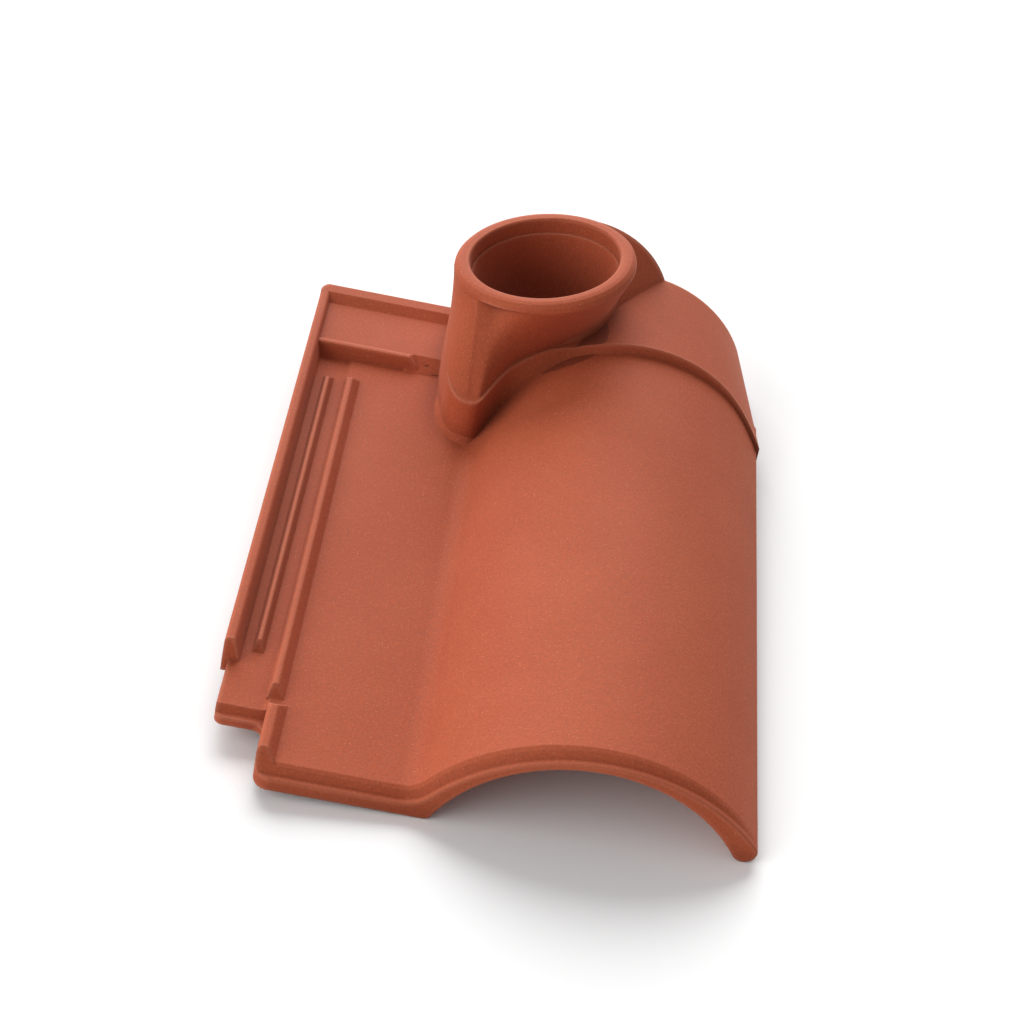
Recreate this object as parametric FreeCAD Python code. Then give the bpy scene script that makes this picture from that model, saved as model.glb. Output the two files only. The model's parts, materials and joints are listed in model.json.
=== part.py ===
"""Clay roof tile with a vent collar: a flat pan, a barrel roll and a round pipe socket, fired in one piece.

Modelled as laid, pan flat: x across the tile, y from the eaves edge to the head, z up, millimetres.
The crease between pan and barrel lies near x = 0 and the eaves edge at y = 0.
At the end the finished tile is set on flat ground, where it lies on its crease, its foot and its nib.
"""
import FreeCAD, Part
import math
import os

V = FreeCAD.Vector

# Pan
pan_width = 93.0
pan_thickness = 13.0
pan_length = 438.0
pan_corner_radius = 10.0

# Barrel roll
barrel_x = 80.0
barrel_inner_z = -34.0
barrel_inner_radius = 88.0
barrel_outer_radius = 106.5
barrel_wall = 9.5
crease_cove_radius = 15.0
crease_round_radius = 5.0
foot_clearance = 0.5
barrel_setback = 78.7

# Stepped nose along the eaves edge
nose_drop = 4.4
nose_ledge = 3.6
nose_run = 3.4
nose_edge_radius = 1.2
nose_ease = 1.4

# Side lock on the left: channel, lip and ribs
channel_width = 26.5
channel_front = 38.0
channel_bottom = 3.0
channel_floor = 11.5
channel_nose_drop = 3.4
fall_width = 2.5
tab_corner_radius = 5.0
notch_radius = 6.0
lip_overhang = 3.5
lip_front = 79.0
lip_height = 11.5
lip_crest_width = 5.5
lip_foot_width = 10.0
lip_end_slope = 4.0
lip_crest_radius = 2.2
thin_rib_offset = 11.5
thin_rib_front = 88.0
thin_rib_height = 4.5
thin_rib_crest_radius = 1.0
inner_rib_front = 54.0
inner_rib_height = 5.5
inner_rib_crest_radius = 1.5
rib_gap = 20.0
rib_end_slope = 6.0
bead_width = 10.5
bead_crest_width = 5.5
bead_crest_radius = 2.4
bead_reach = 14.0

# Head of the pan
shelf_depth = 68.0
shelf_rise = 6.0
shelf_slope = 4.5
shelf_width = 65.0
shelf_edge_radius = 2.0
sill_rise = 1.4
sill_width = 3.0
shelf_end_slope = 9.0
ramp_length = 13.0
head_lip_width = 10.0
head_lip_slope = 8.0
head_corner_radius = 9.0

# Hanging nib under the pan
nib_width = 46.0
nib_length = 16.0
nib_depth = 10.0
nib_offset = 24.0
nib_setback = 32.0
nib_radius = 3.0

# Neck behind the barrel, a narrowing arch that stands proud of it as a step
neck_overhang = 10.0
step_height = 6.5
neck_fall = 1.5
neck_front_radius = 111.0
neck_rear_radius = 81.0
neck_length = 130.0
step_ease = 1.5
neck_front_wall = 9.0
neck_wall = 11.0

# Collar and its pipe socket
collar_offset = 67.2
collar_setback = 56.2
rim_height = 101.5
rim_radius = 56.5
rim_lean = 12.0
rim_edge_radius = 5.0
rim_band = 6.5
socket_radius = 46.5
socket_depth = 10.0
socket_edge_radius = 1.5
throat_radius = 45.3
flue_radius = 36.0
flue_offset = V(4.2, 8.2, 0)
prow_turn = 228.0
shoulder_front_radius = 52.0
shoulder_rear_radius = 60.5

# Boot round the foot of the collar, with a narrow ledge on top
toe_ledge_z = 43.0
ledge_rise_x = 0.14
ledge_rise_y = 0.26
saddle_rise_x = 0.042
saddle_rise_y = 0.126
flare_reach = 3.5
flare_height = 4.5
skirt_bottom = 4.0

# How far the shapes that trim boot and neck reach from the collar's axis, and between which heights
trim_side = 110.0
trim_front = 220.0
trim_low = -30.0
trim_high = 130.0

# Places that follow from these sizes
pan_left = -pan_width
channel_left = pan_left - channel_width
lip_left = channel_left - lip_overhang
lip_top = channel_floor + lip_height
thin_rib_x = pan_left - thin_rib_offset
thin_rib_top = channel_floor + thin_rib_height
inner_rib_x = pan_left + 2.0
inner_rib_top = pan_thickness + inner_rib_height
shelf_front = pan_length - shelf_depth
shelf_top = pan_thickness + shelf_rise
shelf_right = lip_left + shelf_width
rib_end = shelf_front - rib_gap
foot_z = channel_floor - foot_clearance
foot_out_z = foot_z + barrel_wall
barrel_apex = barrel_inner_z + barrel_inner_radius + barrel_wall
barrel_outer_z = barrel_apex - barrel_outer_radius
head_end = pan_length + neck_overhang
neck_apex = barrel_apex + step_height
neck_front = head_end - neck_length
neck_front_z = neck_apex - neck_front_radius
neck_rear_z = neck_apex - neck_fall - neck_rear_radius
collar_x = barrel_x - collar_offset
collar_y = head_end - collar_setback
barrel_end = head_end - barrel_setback
rim_centre = V(collar_x, collar_y, rim_height)
lean = math.radians(rim_lean)
rim_axis = V(-math.sin(lean), 0, math.cos(lean))
rim_across = V(math.cos(lean), 0, math.sin(lean))


def circle_point(cx, cz, radius, z, side):
    return cx + side * math.sqrt(radius ** 2 - (z - cz) ** 2)


crease_x = circle_point(barrel_x, barrel_inner_z, barrel_inner_radius + crease_round_radius,
                        crease_round_radius, -1)


def arc(a, b, c):
    return Part.Arc(a, b, c).toShape()


def line(a, b):
    return Part.LineSegment(a, b).toShape()


def prism(points, direction):
    return Part.Face(Part.makePolygon(points + [points[0]])).extrude(direction)


def by_collar(points, z):
    """Plan points given from the collar's axis, at height z."""
    return [V(collar_x + x, collar_y + y, z) for x, y in points]


def foot_points(y, lift):
    """Ends and lowest point of the rounded foot of the barrel."""
    in_z = foot_z + 3.0
    a = V(circle_point(barrel_x, barrel_inner_z, barrel_inner_radius + lift, in_z, 1), y, in_z)
    b = V(circle_point(barrel_x, barrel_outer_z, barrel_outer_radius - lift, foot_out_z, 1), y, foot_out_z)
    return a, V((a.x + b.x) / 2, y, foot_z + lift), b


def tile_section(y, drop, lift):
    """Pan and barrel wall in one outline.

    Its underside is raised by lift and its upper side is lowered by drop, which fades out down to the foot.
    """
    foot_in, foot_low, foot_out = foot_points(y, lift)
    flank_x = circle_point(barrel_x, barrel_outer_z, barrel_outer_radius - drop, foot_out_z, -1)
    crown = V(barrel_x, y, barrel_apex - drop)
    outer_arc = arc(V(flank_x, y, foot_out_z), crown, foot_out).Curve
    inner = V(barrel_x, y, barrel_inner_z)
    outer = outer_arc.Center
    ri = barrel_inner_radius + lift
    ro = outer_arc.Radius
    top = pan_thickness - drop
    cove = crease_cove_radius + drop
    round_c = V(crease_x, y, crease_round_radius)
    to_arch = (inner - round_c).normalize()
    crease_r = crease_round_radius - lift
    crease_a = V(crease_x, y, lift)
    crease_b = round_c + to_arch * crease_r
    crease_m = round_c + (to_arch + V(0, 0, -1)).normalize() * crease_r
    cove_c = V(outer.x - math.sqrt((ro + cove) ** 2 - (top + cove - outer.z) ** 2), y, top + cove)
    to_barrel = (outer - cove_c).normalize()
    cove_a = cove_c + to_barrel * cove
    cove_m = cove_c + (to_barrel + V(0, 0, -1)).normalize() * cove
    cove_b = V(cove_c.x, y, top)
    low = V(pan_left, y, lift)
    high = V(pan_left, y, top)
    return Part.Wire([
        line(low, crease_a),
        arc(crease_a, crease_m, crease_b),
        arc(crease_b, inner + V(0, 0, ri), foot_in),
        arc(foot_in, foot_low, foot_out),
        arc(foot_out, crown, cove_a),
        arc(cove_a, cove_m, cove_b),
        line(cove_b, high),
        line(high, low),
    ])


def neck_section(y, cz, radius, wall):
    """Arch ring with square feet, closed."""
    c = V(barrel_x, y, cz)
    inner = radius - wall
    left_z = channel_bottom
    right_z = foot_z + 3.0
    out_z = right_z + wall
    a = V(circle_point(barrel_x, cz, radius, left_z, -1), y, left_z)
    b = V(circle_point(barrel_x, cz, radius, out_z, 1), y, out_z)
    d = V(b.x, y, right_z)
    e = V(circle_point(barrel_x, cz, inner, right_z, 1), y, right_z)
    g = V(circle_point(barrel_x, cz, inner, left_z, -1), y, left_z)
    return Part.Wire([
        arc(a, c + V(0, 0, radius), b),
        line(b, d),
        line(d, e),
        arc(e, c + V(0, 0, inner), g),
        line(g, a),
    ])


def hollow_section(y, cz, radius):
    """Filled arch that clears the space under the barrel and the neck."""
    base = -20.0
    a = V(circle_point(barrel_x, cz, radius, 0.0, -1), y, 0.0)
    b = V(circle_point(barrel_x, cz, radius, 0.0, 1), y, 0.0)
    return Part.Wire([
        arc(a, V(barrel_x, y, cz + radius), b),
        line(b, V(b.x, y, base)),
        line(V(b.x, y, base), V(a.x, y, base)),
        line(V(a.x, y, base), a),
    ])


def along_y(profile, side, top_radius):
    """A ridge: its cross profile (x, z) run along y, its top rounded, trimmed by its side outline (y, z)."""
    low_y = min(p[0] for p in side)
    high_y = max(p[0] for p in side)
    low_x = min(p[0] for p in profile)
    high_x = max(p[0] for p in profile)
    top = max(p[1] for p in profile)
    bar = prism([V(x, low_y, z) for x, z in profile], V(0, high_y - low_y, 0))
    crest = [e for e in bar.Edges if e.BoundBox.YLength > 1 and e.BoundBox.ZMin > top - 0.01]
    bar = bar.makeFillet(top_radius, crest)
    mask = prism([V(low_x - 1, y, z) for y, z in side], V(high_x - low_x + 2, 0, 0))
    return bar.common(mask)


def corner_piece(x, y, sx, sy, radius, z0, z1, margin):
    """What lies between a square plan corner, enlarged by margin, and its rounding."""
    c = V(x + sx * radius, y + sy * radius, z0)
    half = radius * math.sqrt(0.5)
    a = V(c.x, y, z0)
    b = V(x, c.y, z0)
    out_x = x - sx * margin
    out_y = y - sy * margin
    corners = [b, V(out_x, c.y, z0), V(out_x, out_y, z0), V(c.x, out_y, z0), a]
    edges = [arc(a, V(c.x - sx * half, c.y - sy * half, z0), b)]
    edges += [line(p, q) for p, q in zip(corners, corners[1:])]
    return Part.Face(Part.Wire(edges)).extrude(V(0, 0, z1 - z0))


def ledge_z(point):
    """Height of the ledge over a plan point: it climbs away from the toe."""
    return toe_ledge_z + ledge_rise_x * (point.x - toe.x) + ledge_rise_y * (point.y - toe.y)


# Pan and barrel, nose included
nose_top = nose_ledge + nose_run
nose_slope = math.hypot(nose_run, nose_drop)
edge_mid = nose_edge_radius * (1 - math.sqrt(0.5))
body = Part.makeLoft([
    tile_section(0.0, nose_drop + nose_edge_radius, nose_edge_radius),
    tile_section(edge_mid, nose_drop + edge_mid, edge_mid),
    tile_section(nose_edge_radius, nose_drop, 0.0),
    tile_section(nose_ledge, nose_drop, 0.0),
    tile_section(nose_top - nose_ease * nose_run / nose_slope, nose_ease * nose_drop / nose_slope, 0.0),
    tile_section(nose_top + nose_ease, 0.0, 0.0),
    tile_section(barrel_end, 0.0, 0.0),
], True, True)
rear_pan = Part.makeBox(pan_width + collar_x, pan_length - barrel_end + 4.0, pan_thickness,
                        V(pan_left, barrel_end - 4.0, 0))

# Side lock channel, its lip and ribs
channel_nose = channel_floor - channel_nose_drop
channel = prism([
    V(channel_left, channel_front, channel_bottom),
    V(channel_left, channel_front, channel_nose),
    V(channel_left, channel_front + nose_ledge, channel_nose),
    V(channel_left, channel_front + nose_ledge + nose_run, channel_floor),
    V(channel_left, pan_length, channel_floor),
    V(channel_left, pan_length, channel_bottom),
], V(channel_width + 3.0, 0, 0))
notch_fill = corner_piece(pan_left, channel_front, -1, -1, notch_radius, channel_bottom, channel_nose, 2.0)
fall = prism([
    V(pan_left - fall_width, channel_front + nose_top, channel_bottom),
    V(pan_left - fall_width, channel_front + nose_top, channel_floor),
    V(pan_left, channel_front + nose_top, pan_thickness),
    V(pan_left + fall_width, channel_front + nose_top, channel_bottom),
], V(0, shelf_front - channel_front, 0))
lip = along_y(
    [(lip_left, channel_bottom), (lip_left, lip_top), (lip_left + lip_crest_width, lip_top),
     (lip_left + lip_foot_width, channel_floor - 1), (lip_left + lip_foot_width, channel_bottom)],
    [(lip_front, channel_bottom), (lip_front, channel_floor), (lip_front + lip_end_slope, lip_top),
     (pan_length, lip_top), (pan_length, channel_bottom)], lip_crest_radius)
bead_end = channel_front + bead_reach
bead = along_y(
    [(pan_left, 6.0), (pan_left, inner_rib_top), (pan_left + bead_crest_width, inner_rib_top),
     (pan_left + bead_width, pan_thickness - 0.5), (pan_left + bead_width, 6.0)],
    [(nose_ledge, 6.0), (nose_ledge, pan_thickness - nose_drop), (nose_ledge + 9.0, inner_rib_top),
     (bead_end - 8.0, inner_rib_top), (bead_end, pan_thickness - 1.5), (bead_end, 6.0)],
    bead_crest_radius)
inner_rib = along_y(
    [(inner_rib_x - 4.5, 8.0), (inner_rib_x - 4.5, channel_floor - 0.5), (inner_rib_x - 2.0, inner_rib_top),
     (inner_rib_x + 1.0, inner_rib_top), (inner_rib_x + 6.0, pan_thickness - 0.5), (inner_rib_x + 6.0, 8.0)],
    [(inner_rib_front, 8.0), (inner_rib_front, pan_thickness),
     (inner_rib_front + rib_end_slope, inner_rib_top), (rib_end - rib_end_slope, inner_rib_top),
     (rib_end, pan_thickness), (rib_end, 8.0)], inner_rib_crest_radius)
thin_rib = along_y(
    [(thin_rib_x - 4.0, 8.0), (thin_rib_x - 4.0, channel_floor - 0.5), (thin_rib_x - 2.0, thin_rib_top),
     (thin_rib_x, thin_rib_top), (thin_rib_x + 3.0, channel_floor - 0.5), (thin_rib_x + 3.0, 8.0)],
    [(thin_rib_front, 8.0), (thin_rib_front, channel_floor), (thin_rib_front + rib_end_slope, thin_rib_top),
     (rib_end - rib_end_slope, thin_rib_top), (rib_end, channel_floor), (rib_end, 8.0)],
    thin_rib_crest_radius)

# Head of the pan: shelf, its ramp towards the collar and the end lip
shelf_left = lip_left + 3.0
shelf_back = pan_length - 1.0
brow_y = shelf_front + shelf_slope
sill_top = shelf_top + sill_rise
shelf = prism([
    V(shelf_left, shelf_front, 6.0),
    V(shelf_left, shelf_front, channel_floor - 0.5),
    V(shelf_left, brow_y, sill_top),
    V(shelf_left, brow_y + sill_width, sill_top),
    V(shelf_left, brow_y + 2 * sill_width, shelf_top),
    V(shelf_left, shelf_back, shelf_top),
    V(shelf_left, shelf_back, 6.0),
], V(shelf_right + shelf_end_slope - shelf_left, 0, 0))
shelf_brow = V(shelf_left, brow_y, sill_top)
shelf = shelf.makeFillet(shelf_edge_radius, [
    e for e in shelf.Edges if e.BoundBox.YLength < 0.01 and e.BoundBox.isInside(shelf_brow)])
shelf = shelf.cut(prism([
    V(shelf_right, shelf_front - 1.0, sill_top),
    V(shelf_right + shelf_end_slope, shelf_front - 1.0, pan_thickness - 0.5),
    V(shelf_right + shelf_end_slope + 1.0, shelf_front - 1.0, pan_thickness - 0.5),
    V(shelf_right + shelf_end_slope + 1.0, shelf_front - 1.0, sill_top + 1.0),
    V(shelf_right, shelf_front - 1.0, sill_top + 1.0),
], V(0, shelf_depth + 2.0, 0)))
ramp_left = shelf_right - 2.0
ramp_right = collar_x - 38.0
ramp = prism([
    V(ramp_left, shelf_front - 2.0, pan_thickness - 2.0),
    V(ramp_left, shelf_front - 2.0, pan_thickness - 0.3),
    V(ramp_left, shelf_front - 2.0 + ramp_length, shelf_top),
    V(ramp_left, shelf_back, shelf_top),
    V(ramp_left, shelf_back, pan_thickness - 2.0),
], V(ramp_right - ramp_left, 0, 0))
head_lip_front = pan_length - head_lip_width
head_lip = prism([
    V(lip_left, head_lip_front - head_lip_slope, channel_bottom),
    V(lip_left, head_lip_front - head_lip_slope, shelf_top - 0.5),
    V(lip_left, head_lip_front, lip_top),
    V(lip_left, pan_length - 1.5, lip_top),
    V(lip_left, pan_length, lip_top - 1.5),
    V(lip_left, pan_length, channel_bottom),
], V(ramp_right - lip_left, 0, 0))

# Hanging nib: it hooks behind the batten
nib_left = -nib_offset - nib_width
nib_front = pan_length - nib_setback - nib_length
nib = Part.makeBox(nib_width, nib_length, nib_depth + pan_thickness / 2, V(nib_left, nib_front, -nib_depth))
nib = nib.makeFillet(nib_radius, [e for e in nib.Edges if e.BoundBox.ZMin < 0])

# Space under the barrel, the neck and the boot
hollow = Part.makeLoft([
    hollow_section(neck_front - 48.0, barrel_inner_z, barrel_inner_radius + barrel_wall / 2),
    hollow_section(barrel_end, barrel_inner_z, barrel_inner_radius + barrel_wall / 2),
    hollow_section(head_end + 32.0, neck_rear_z, neck_rear_radius - 9.0),
], True, True)

# Front edge of boot and neck in plan: up the left side, round the toe, over the barrel and down to the foot
# Each row is a place on the top of the edge and how far its face leans back per millimetre of height
toe = V(collar_x - 29.4, collar_y - 81.8, 0)
front_rows = [
    (-47.5, -25.0, 0.0), (-47.2, -46.0, 0.0), (-45.4, -64.0, 0.0), (-40.4, -77.2, 0.0), (-33.0, -83.8, 0.0),
    (-25.4, -84.2, 0.0), (-20.4, -77.4, 0.1), (-15.6, -67.5, 0.2), (-7.8, -54.8, 0.35), (4.0, -44.2, 0.5),
    (16.5, -36.8, 0.5), (31.0, -32.2, 0.45), (45.0, -31.0, 0.35), (60.0, -29.5, 0.2), (78.0, -28.0, 0.1),
    (99.0, -27.0, 0.1), (120.0, -27.5, 0.1), (136.0, -31.5, 0.1), (147.0, -39.5, 0.1), (156.0, -50.0, 0.1),
    (180.0, -80.0, 0.1)]
front_edge = by_collar([row[:2] for row in front_rows], 0)
saddle = by_collar([(17.2, -39.3)], 0)[0]
block_right = collar_x + 37.0
outside = by_collar([
    (front_rows[-1][0], -trim_front), (-trim_side, -trim_front), (-trim_side, trim_side),
    (front_rows[0][0], trim_side)], 0)


def neck_z(point):
    """Height of the neck's outer face over a plan point."""
    t = (point.y - neck_front) / neck_length
    radius = neck_front_radius + (neck_rear_radius - neck_front_radius) * t
    cz = neck_front_z + (neck_rear_z - neck_front_z) * t
    return cz + math.sqrt(max(0.0, radius ** 2 - (point.x - barrel_x) ** 2))


def saddle_z(point):
    """Height of the saddle between the ledge and the neck."""
    return ledge_z(saddle) + saddle_rise_x * (point.x - saddle.x) + saddle_rise_y * (point.y - saddle.y)


def edge_top(point):
    """Height of the front edge: the ledge or the saddle round the toe, the neck from there on."""
    if point.x > block_right:
        return neck_z(point)
    return max(neck_z(point), min(ledge_z(point), saddle_z(point)))


def in_front(leans, back):
    """What lies in front of the edge, moved back, with a face that leans by these shares of its height."""
    lengths = [0.0]
    for p, q in zip(front_edge, front_edge[1:]):
        lengths.append(lengths[-1] + p.distanceToPoint(q))
    wires = []
    for z in (trim_low, trim_high):
        points = []
        for p, slant in zip(front_edge, leans):
            points.append(V(p.x, p.y + back + slant * (z - edge_top(p)), z))
        curve = Part.BSplineCurve()
        curve.interpolate(Points=points, Parameters=lengths)
        corners = [points[-1]] + [V(p.x, p.y, z) for p in outside] + [points[0]]
        wires.append(Part.Wire([curve.toShape()] + [line(p, q) for p, q in zip(corners, corners[1:])]))
    return Part.makeLoft(wires, True, True)


# Skirt: a block up to the ledge, which flattens into a saddle beside the barrel
block_plan = by_collar([(-60, -95), (37, -95), (37, -20), (17, 4), (-18, 44), (-60, 46)], skirt_bottom)
block = prism(block_plan, V(0, 0, trim_high - skirt_bottom))
above = by_collar([
    (-trim_side, -trim_side), (trim_side, -trim_side), (trim_side, trim_side), (-trim_side, trim_side)], 0)
for top_z in (ledge_z, saddle_z):
    block = block.cut(prism([V(p.x, p.y, top_z(p)) for p in above], V(0, 0, trim_high)))
block = block.cut(hollow)

# Neck
neck = Part.makeLoft([
    neck_section(neck_front, neck_front_z, neck_front_radius, neck_front_wall),
    neck_section(head_end, neck_rear_z, neck_rear_radius, neck_wall),
], True, True)
neck = neck.fuse(block).cut(in_front([row[2] for row in front_rows], 0.0))
neck = neck.cut(in_front([1.0] * len(front_rows), step_ease))

# Flare where the skirt of the toe meets the pan
toe_middle = by_collar([(-31.0, -56.0)], 0)[0]
flare_wires = []
for reach, z in ((flare_reach, pan_thickness - 0.5), (-0.3, pan_thickness + flare_height)):
    points = [p + (p - toe_middle).normalize() * reach + V(0, 0, z) for p in front_edge[1:8]]
    curve = Part.BSplineCurve()
    curve.interpolate(points)
    flare_wires.append(Part.Wire([curve.toShape(), line(points[-1], points[0])]))
flare = Part.makeLoft(flare_wires, True, True)

# Collar wall: from the toe-shaped outline on the ledge to the round rim, which overhangs the flat of the prow
# Each row is a place on the ledge and how far the wall above it stands in from the rim
collar_outline = [
    (-31.7, -80.0, 0.0), (-28.0, -80.2, 3.4), (-24.2, -80.0, 5.8), (-21.4, -74.4, 5.0), (-15.6, -62.8, 2.6),
    (-6.6, -49.8, 0.8), (4.8, -41.2, 0.2), (16.5, -34.4, 0.0), (29.4, -26.5, 0.0), (42.2, -12.8, 0.0),
    (50.2, 8.2, 0.0), (49.2, 29.2, 0.0), (36.2, 45.2, 0.0), (15.2, 52.2, 0.0), (-8.8, 52.2, 0.0),
    (-30.5, 44.5, 0.0), (-45.5, 27.0, 0.0), (-51.0, 4.2, 0.0), (-50.8, -21.8, 0.0), (-48.8, -44.0, 0.0),
    (-45.4, -62.0, 0.0), (-39.8, -74.0, 0.0), (-31.7, -80.0, 0.0)]
# Turn on the rim above each of these places, in degrees from the prow
rim_turns = [0, 5, 10, 15, 22, 32, 44, 57, 72, 94, 122, 157, 184, 209, 237, 264, 292, 314, 332, 343, 350,
             355.5, 360]
shares = [turn / 360.0 for turn in rim_turns]
low_points = by_collar([row[:2] for row in collar_outline], skirt_bottom)
under_points = []
for row, turn in zip(collar_outline, rim_turns):
    a = math.radians(prow_turn + turn)
    out = (rim_across * math.cos(a) + V(0, 1, 0) * math.sin(a)) * (rim_radius - row[2])
    under_points.append(rim_centre + out - rim_axis * rim_band)
low_curve = Part.BSplineCurve()
low_curve.interpolate(Points=low_points, Parameters=shares)
ledge_curve = Part.BSplineCurve()
ledge_curve.interpolate(Points=[V(p.x, p.y, ledge_z(p) - 0.01) for p in low_points], Parameters=shares)
under_curve = Part.BSplineCurve()
under_curve.interpolate(Points=under_points, Parameters=shares)
prow = math.radians(prow_turn)
collar_wires = [Part.Wire([curve.toShape()]) for curve in (low_curve, ledge_curve, under_curve)]
for bend in (0.0, 30.0, 60.0, 90.0):
    inset = rim_edge_radius * (1 - math.cos(math.radians(bend)))
    below = rim_edge_radius * (1 - math.sin(math.radians(bend)))
    rim_circle = Part.Circle(rim_centre - rim_axis * below, rim_axis, rim_radius - inset)
    rim_circle.XAxis = rim_across * math.cos(prow) + V(0, 1, 0) * math.sin(prow)
    collar_wires.append(Part.Wire([rim_circle.toShape()]))
collar = Part.makeLoft(collar_wires, True, True)

# Shoulder behind the collar
shoulder_low = V(collar_x + 13.2, collar_y + 8.2, 30.0)
shoulder_end = V(collar_x + 27.2, head_end, 40.0)
shoulder = Part.makeLoft([
    Part.Wire([Part.makeCircle(shoulder_front_radius, shoulder_low, V(0, 1, 0))]),
    Part.Wire([Part.makeCircle(shoulder_rear_radius, shoulder_end, V(0, 1, 0))]),
], True, True).cut(Part.makeBox(2 * trim_side, trim_side, skirt_bottom - trim_low,
                                V(collar_x - trim_side, collar_y, trim_low)))

boot = collar.fuse([shoulder, flare]).cut(hollow)
tile = body.fuse([rear_pan, channel, notch_fill, fall, lip, bead, inner_rib, thin_rib, shelf, ramp,
                  head_lip, nib, neck, boot])

# Rounded plan corners
for x, y, sy, radius in (
        (pan_left, 0.0, 1, pan_corner_radius), (channel_left, channel_front, 1, tab_corner_radius),
        (lip_left, pan_length, -1, head_corner_radius)):
    tile = tile.cut(corner_piece(x, y, 1, sy, radius, -1.0, lip_top + 5.0, 5.0))

# Socket with a rounded mouth, and the flue below it
e = socket_edge_radius
mouth = V(socket_radius + e, 0, -e)
profile = [V(0, 0, -socket_depth), V(socket_radius, 0, -socket_depth), V(socket_radius, 0, -e)]
mouth_out = [V(socket_radius + e, 0, 0), V(socket_radius + e, 0, 30), V(0, 0, 30), profile[0]]
edges = [line(p, q) for p, q in zip(profile, profile[1:])]
edges.append(arc(profile[-1], mouth + V(-1, 0, 1).normalize() * e, mouth_out[0]))
edges += [line(p, q) for p, q in zip(mouth_out, mouth_out[1:])]
socket = Part.Face(Part.Wire(edges)).revolve(V(0, 0, 0), V(0, 0, 1), 360)
socket.rotate(V(0, 0, 0), V(0, 1, 0), -rim_lean)
socket.translate(rim_centre)
flue_centre = V(collar_x, collar_y, 0) + flue_offset
flue = Part.makeLoft([
    Part.Wire([Part.makeCircle(flue_radius, flue_centre + V(0, 0, -10), V(0, 0, 1))]),
    Part.Wire([Part.makeCircle(flue_radius, flue_centre + V(0, 0, 50), V(0, 0, 1))]),
    Part.Wire([Part.makeCircle(throat_radius, rim_centre - rim_axis * (socket_depth - 0.1), rim_axis)]),
], True, True)
tile = tile.cut(socket.fuse(flue))

# Rest on flat ground: crease and foot at the eaves edge, nib at the head, then centre over the origin
crease_contact = V(crease_x, nose_edge_radius, 0)
foot_round = arc(*foot_points(nose_edge_radius, 0.0)).Curve
foot_contact = foot_round.Center - V(0, 0, foot_round.Radius)
nib_contact = V(nib_left + nib_width - nib_radius, nib_front + nib_radius, -nib_depth)
ground_normal = (foot_contact - crease_contact).cross(nib_contact - crease_contact)
tile.Placement = FreeCAD.Placement(V(0, 0, 0), FreeCAD.Rotation(ground_normal, V(0, 0, 1))) * tile.Placement
box = tile.optimalBoundingBox(False)
tile.translate(V(-(box.XMin + box.XMax) / 2, -(box.YMin + box.YMax) / 2, -box.ZMin))

os.makedirs("parts", exist_ok=True)
tile.exportStep("parts/vent_tile.step")
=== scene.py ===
"""Looks for the roof tile vent: matte fired clay on a white floor, in soft studio light.

Metres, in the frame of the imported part: +Y runs from the eaves edge to the head, +Z is up.
The floor is z = 0.
"""
import json
import math

import bpy
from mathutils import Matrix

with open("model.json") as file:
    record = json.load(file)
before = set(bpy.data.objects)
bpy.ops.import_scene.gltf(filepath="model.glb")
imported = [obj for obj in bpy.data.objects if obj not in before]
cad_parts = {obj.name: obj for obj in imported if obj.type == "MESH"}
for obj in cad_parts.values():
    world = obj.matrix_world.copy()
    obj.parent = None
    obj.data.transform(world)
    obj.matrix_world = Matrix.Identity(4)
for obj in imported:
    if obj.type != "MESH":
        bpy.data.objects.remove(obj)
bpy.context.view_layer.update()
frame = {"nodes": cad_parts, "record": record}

# Camera at the photograph's viewing angle
CAMERA_PLACE = (-0.0045, -1.0660, 0.8270)
CAMERA_TURN_DEG = (53.125, -6.227, 4.538)
CAMERA_LENS_MM = 80.86
CAMERA_SENSOR_MM = 36.0

# Fired clay, linear colours
CLAY = (0.43, 0.0895, 0.036, 1.0)
CLAY_DARK = (0.397, 0.077, 0.030, 1.0)
CLAY_PALE = (0.64, 0.22, 0.13, 1.0)
CLAY_ROUGHNESS = (0.62, 0.85)
SPECULAR_LEVEL = 0.2
SHEEN_WEIGHT = 0.10
SHEEN_ROUGHNESS = 0.4
SHEEN_TINT = (1.0, 0.62, 0.48, 1.0)

# Clay texture: scales are per metre, and a span is the stretch of a texture's values that is used
DRIFT_SCALE = 14.0
DRIFT_DETAIL = 4.0
DRIFT_ROUGHNESS = 0.55
DRIFT_SPAN = (0.35, 0.68)
GRAIN_SCALE = 620.0
GRAIN_DETAIL = 3.0
GRAIN_ROUGHNESS = 0.6
GRAIN_SPAN = (0.3, 0.7)
GRAIN_SHADE = (0.86, 1.12)
SPECK_SCALE = 560.0
SPECK_SPAN = (0.22, 0.08)
SPECK_LEVEL = 0.9
BUMP_STRENGTH = 0.35
BUMP_DEPTH = 0.0006

# Edges and recesses: the paler edges are partly wear and partly painted highlight, the darker recesses are
# painted shade
EDGE_SAMPLES = 8
EDGE_ROUND = 0.0012
WEAR_AND_HIGHLIGHT_REACH = 0.003
WEAR_AND_HIGHLIGHT_SPAN = (0.95, 0.55)
WEAR_AND_HIGHLIGHT_LEVEL = 0.5
RECESS_REACH = 0.016
RECESS_SHADE = 0.5

# Pipe throat: where its shade starts and is full, past the socket's radius and along its axis
THROAT_MARGIN = (0.0015, 0.0003)
THROAT_HEIGHT = (-0.004, -0.04)
THROAT_LOSS = (0.1, 0.4)

# Two small marks in the ramp beside the collar: centre and half sizes
DENT = ((-0.0678, 0.1514, 0.0271), (0.0019, 0.0009, 0.0015))
SCRATCH = ((-0.0614, 0.1464, 0.0241), (0.0050, 0.0007, 0.0015))
MARK_TURN_DEG = 8.5
MARK_SPAN = (1.0, 0.4)
# painted shade: how much darker the colour is inside the marks, as shade in their hollows
MARK_PAINTED_SHADE = 0.55
MARK_DEPTH = 1.2

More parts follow.
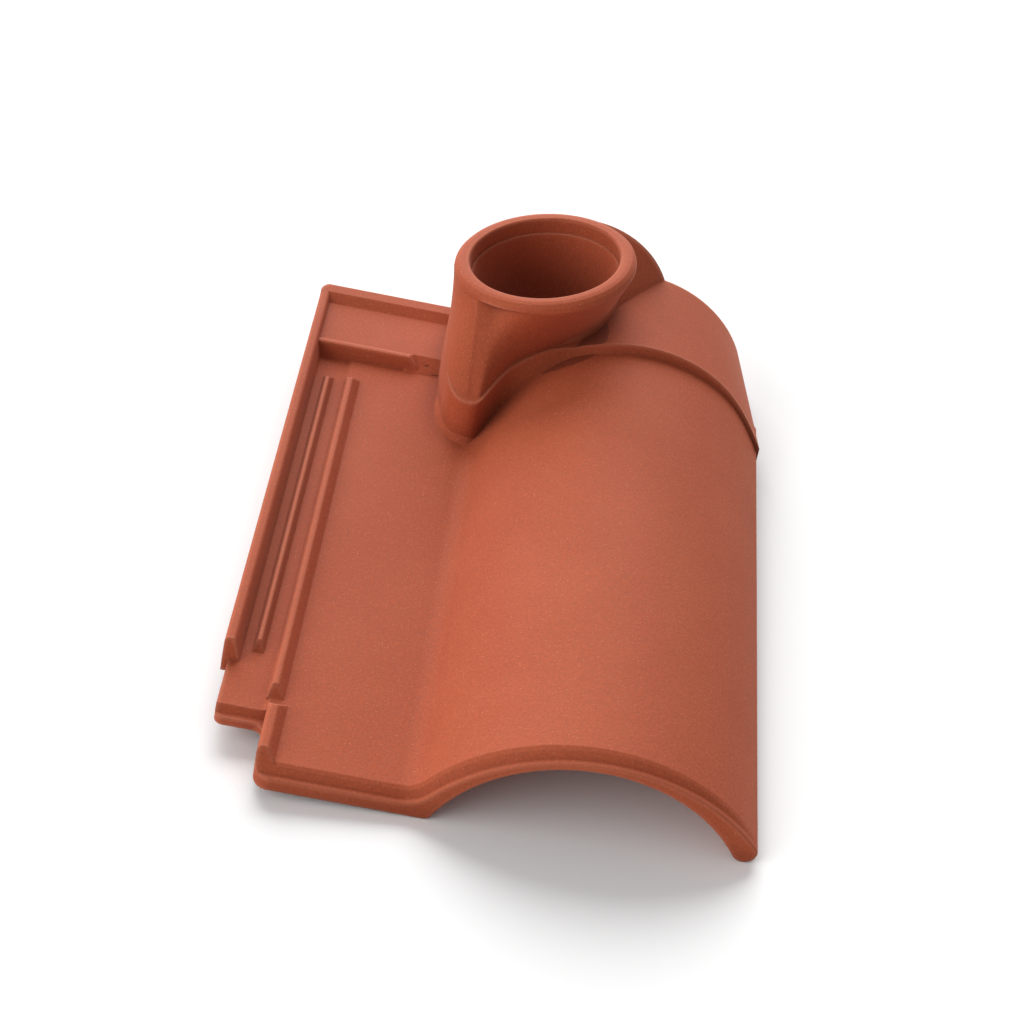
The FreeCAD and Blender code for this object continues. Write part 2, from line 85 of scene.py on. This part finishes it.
# Light and floor
SKY_STRENGTH = 0.32
BACK_STRENGTH = 3.7
BACK_TURN_DEG = (-57.5, -12.0, 0.0)
BACK_SPREAD_DEG = 55.0
LEFT_STRENGTH = 2.04
LEFT_TURN_DEG = (26.7, -70.9, 0.0)
LEFT_SPREAD_DEG = 65.0
BACKDROP_STRENGTH = 1.0
BACKDROP_WHITE = (1.0, 1.0, 1.0, 1.0)
FLOOR_COLOUR = (0.65, 0.65, 0.65, 1.0)
FLOOR_ROUGHNESS = 0.9
FLOOR_SPECULAR = 0.1
FLOOR_SIZE = 14.0


def node(tree, kind, **settings):
    """Adds a shader node, with its settings and socket values."""
    made = tree.nodes.new(kind)
    for name, value in settings.items():
        if name in made.inputs:
            made.inputs[name].default_value = value
        else:
            setattr(made, name, value)
    return made


def feed(tree, socket, value):
    """Links a node's output to an input, or sets the input to a plain value."""
    if isinstance(value, bpy.types.NodeSocket):
        tree.links.new(value, socket)
    else:
        socket.default_value = value


def maths(tree, operation, *values):
    """One step of arithmetic on outputs or plain numbers."""
    made = node(tree, "ShaderNodeMath", operation=operation)
    for socket, value in zip(made.inputs, values):
        feed(tree, socket, value)
    return made.outputs["Value"]


def vector_maths(tree, operation, *values):
    """One step of vector arithmetic; a length or a dot product gives a number."""
    made = node(tree, "ShaderNodeVectorMath", operation=operation)
    for socket, value in zip(made.inputs, values):
        feed(tree, socket, value)
    gives_number = operation in ("LENGTH", "DOT_PRODUCT")
    return made.outputs["Value" if gives_number else "Vector"]


def ranged(tree, value, span, to=(0.0, 1.0)):
    """A value stretched from one span to another and held at both ends."""
    made = node(tree, "ShaderNodeMapRange")
    for name, number in zip(("From Min", "From Max", "To Min", "To Max"), (*span, *to)):
        made.inputs[name].default_value = number
    feed(tree, made.inputs["Value"], value)
    return made.outputs["Result"]


def mixed(tree, factor, first, second):
    """Mix of two colours, from the first to the second."""
    made = node(tree, "ShaderNodeMix", data_type="RGBA")
    for name, value in (("Factor", factor), ("A", first), ("B", second)):
        feed(tree, made.inputs[name], value)
    return made.outputs["Result"]


def noise(tree, place, scale, detail, roughness):
    """Soft noise over the tile, about 0 to 1."""
    made = node(tree, "ShaderNodeTexNoise", Scale=scale, Detail=detail, Roughness=roughness)
    feed(tree, made.inputs["Vector"], place)
    return made.outputs["Fac"]


def seen_ray(tree):
    """1 for rays from the camera, straight or by gloss or glass, 0 for light that is thrown back."""
    ray = node(tree, "ShaderNodeLightPath")
    gloss = maths(tree, "MAXIMUM", ray.outputs["Is Camera Ray"], ray.outputs["Is Glossy Ray"])
    return maths(tree, "MAXIMUM", gloss, ray.outputs["Is Transmission Ray"])


def clay_colour(tree, place, grain):
    """Colour of the clay before wear and shade: a slow drift, a fine grain and small pale specks."""
    drift = node(tree, "ShaderNodeValToRGB")
    for element, position, colour in zip(drift.color_ramp.elements, DRIFT_SPAN, (CLAY_DARK, CLAY)):
        element.position = position
        element.color = colour
    feed(tree, drift.inputs["Fac"], noise(tree, place, DRIFT_SCALE, DRIFT_DETAIL, DRIFT_ROUGHNESS))
    grained = vector_maths(
        tree, "MULTIPLY", drift.outputs["Color"], ranged(tree, grain, GRAIN_SPAN, GRAIN_SHADE))
    specks = node(tree, "ShaderNodeTexVoronoi", Scale=SPECK_SCALE)
    feed(tree, specks.inputs["Vector"], place)
    spot = ranged(tree, specks.outputs["Distance"], SPECK_SPAN, (0.0, SPECK_LEVEL))
    pick = node(tree, "ShaderNodeSeparateColor")
    feed(tree, pick.inputs["Color"], specks.outputs["Color"])
    return mixed(tree, maths(tree, "MULTIPLY", spot, pick.outputs["Red"]), grained, CLAY_PALE)


def worn_and_highlit_edges(tree, colour):
    """The same colour, paler along the tile's outer edges: partly wear, partly a painted highlight where
    the edges catch light.
    """
    edge = node(tree, "ShaderNodeAmbientOcclusion", samples=EDGE_SAMPLES, inside=True, Distance=WEAR_AND_HIGHLIGHT_REACH)
    return mixed(tree, ranged(tree, edge.outputs["AO"], WEAR_AND_HIGHLIGHT_SPAN, (0.0, WEAR_AND_HIGHLIGHT_LEVEL)), colour, CLAY_PALE)


def recess_shade(tree):
    """Shade factor for inner corners and narrow gaps; 1 on open faces."""
    recess = node(tree, "ShaderNodeAmbientOcclusion", samples=EDGE_SAMPLES, Distance=RECESS_REACH)
    return ranged(tree, recess.outputs["AO"], (0.0, 1.0), (RECESS_SHADE, 1.0))


def throat_shade(tree, place):
    """Shade factor that darkens the inside of the pipe throat with its depth; 1 everywhere else."""
    socket = next(m for m in frame["record"]["mounts"] if m["name"] == "pipe_socket")
    axis = socket["axis"]
    radius = socket["dims"]["r_mm"] / 1000.0
    offset = vector_maths(tree, "SUBTRACT", place, socket["pos_m"])
    across = vector_maths(tree, "CROSS_PRODUCT", offset, axis)
    near = ranged(tree, vector_maths(tree, "LENGTH", across), [radius + margin for margin in THROAT_MARGIN])
    outward = vector_maths(tree, "CROSS_PRODUCT", axis, across)
    normal = node(tree, "ShaderNodeNewGeometry").outputs["Normal"]
    inward = maths(tree, "LESS_THAN", vector_maths(tree, "DOT_PRODUCT", outward, normal), 0.0)
    wall = maths(tree, "MULTIPLY", near, inward)
    loss = ranged(tree, vector_maths(tree, "DOT_PRODUCT", offset, axis), THROAT_HEIGHT, THROAT_LOSS)
    return maths(tree, "SUBTRACT", 1.0, maths(tree, "MULTIPLY", wall, loss))


def mark(tree, place, centre, half_size):
    """Mask of one small mark in the clay: 1 in its middle, 0 outside it."""
    turn = (0.0, 0.0, math.radians(MARK_TURN_DEG))
    local = node(
        tree, "ShaderNodeMapping", vector_type="TEXTURE", Location=centre, Rotation=turn, Scale=half_size)
    feed(tree, local.inputs["Vector"], place)
    return ranged(tree, vector_maths(tree, "LENGTH", local.outputs["Vector"]), MARK_SPAN)


def clay_material():
    """Unglazed clay with paler edges (partly wear, partly painted highlight), painted shade in recesses, in
    the pipe throat and in two small marks, and softened arrises.
    """
    material = bpy.data.materials.new("terracotta")
    material.use_nodes = True
    tree = material.node_tree
    shader = tree.nodes["Principled BSDF"]
    shader.inputs["Specular IOR Level"].default_value = SPECULAR_LEVEL
    shader.inputs["Sheen Weight"].default_value = SHEEN_WEIGHT
    shader.inputs["Sheen Roughness"].default_value = SHEEN_ROUGHNESS
    shader.inputs["Sheen Tint"].default_value = SHEEN_TINT

    place = node(tree, "ShaderNodeTexCoord").outputs["Object"]
    grain = noise(tree, place, GRAIN_SCALE, GRAIN_DETAIL, GRAIN_ROUGHNESS)
    marks = maths(tree, "MAXIMUM", mark(tree, place, *DENT), mark(tree, place, *SCRATCH))

    colour = worn_and_highlit_edges(tree, clay_colour(tree, place, grain))
    shade = maths(tree, "MULTIPLY", recess_shade(tree), throat_shade(tree, place))
    # Painted shade: the colour is darker inside the two marks.
    shade = maths(tree, "MULTIPLY", shade, ranged(tree, marks, (0.0, 1.0), (1.0, 1.0 - MARK_PAINTED_SHADE)))
    feed(tree, shader.inputs["Base Color"], vector_maths(tree, "MULTIPLY", colour, shade))
    feed(tree, shader.inputs["Roughness"], ranged(tree, grain, (0.0, 1.0), CLAY_ROUGHNESS))

    rounded = node(tree, "ShaderNodeBevel", samples=EDGE_SAMPLES, Radius=EDGE_ROUND)
    bump = node(tree, "ShaderNodeBump", Strength=BUMP_STRENGTH, Distance=BUMP_DEPTH)
    feed(tree, bump.inputs["Height"], maths(tree, "MULTIPLY_ADD", marks, -MARK_DEPTH, grain))
    feed(tree, bump.inputs["Normal"], rounded.outputs["Normal"])
    feed(tree, shader.inputs["Normal"], bump.outputs["Normal"])
    return material


def floor():
    """Floor that keeps the shadow: white to the camera, grey to the light that it throws back."""
    bpy.ops.mesh.primitive_plane_add(size=FLOOR_SIZE)
    made = bpy.context.object
    made.name = "floor"
    material = bpy.data.materials.new("white_floor")
    material.use_nodes = True
    tree = material.node_tree
    shader = tree.nodes["Principled BSDF"]
    shader.inputs["Roughness"].default_value = FLOOR_ROUGHNESS
    shader.inputs["Specular IOR Level"].default_value = FLOOR_SPECULAR
    feed(tree, shader.inputs["Base Color"], mixed(tree, seen_ray(tree), FLOOR_COLOUR, BACKDROP_WHITE))
    made.data.materials.append(material)


def lamp(name, strength, turn_deg, spread_deg):
    """A wide soft light from far away, the same all over the floor."""
    light = bpy.data.lights.new(name, "SUN")
    light.energy = strength
    light.angle = math.radians(spread_deg)
    made = bpy.data.objects.new(name, light)
    bpy.context.collection.objects.link(made)
    made.rotation_euler = [math.radians(a) for a in turn_deg]


def sky():
    """Even dim light from all round, white where the camera sees it."""
    world = bpy.data.worlds.new("studio")
    world.use_nodes = True
    tree = world.node_tree
    background = tree.nodes["Background"]
    background.inputs["Color"].default_value = BACKDROP_WHITE
    level = ranged(tree, seen_ray(tree), (0.0, 1.0), (SKY_STRENGTH, BACKDROP_STRENGTH))
    feed(tree, background.inputs["Strength"], level)
    bpy.context.scene.world = world


def camera():
    """Camera as in the photograph, for a square frame."""
    data = bpy.data.cameras.new("camera")
    data.lens = CAMERA_LENS_MM
    data.sensor_width = CAMERA_SENSOR_MM
    made = bpy.data.objects.new("camera", data)
    bpy.context.collection.objects.link(made)
    made.location = CAMERA_PLACE
    made.rotation_euler = [math.radians(a) for a in CAMERA_TURN_DEG]
    bpy.context.scene.camera = made


clay = clay_material()
tile = frame["nodes"]["vent_tile"]
for slot in tile.material_slots:
    slot.material = clay

floor()
lamp("back", BACK_STRENGTH, BACK_TURN_DEG, BACK_SPREAD_DEG)
lamp("left", LEFT_STRENGTH, LEFT_TURN_DEG, LEFT_SPREAD_DEG)
sky()
camera()
bpy.context.scene.view_settings.view_transform = "Standard"
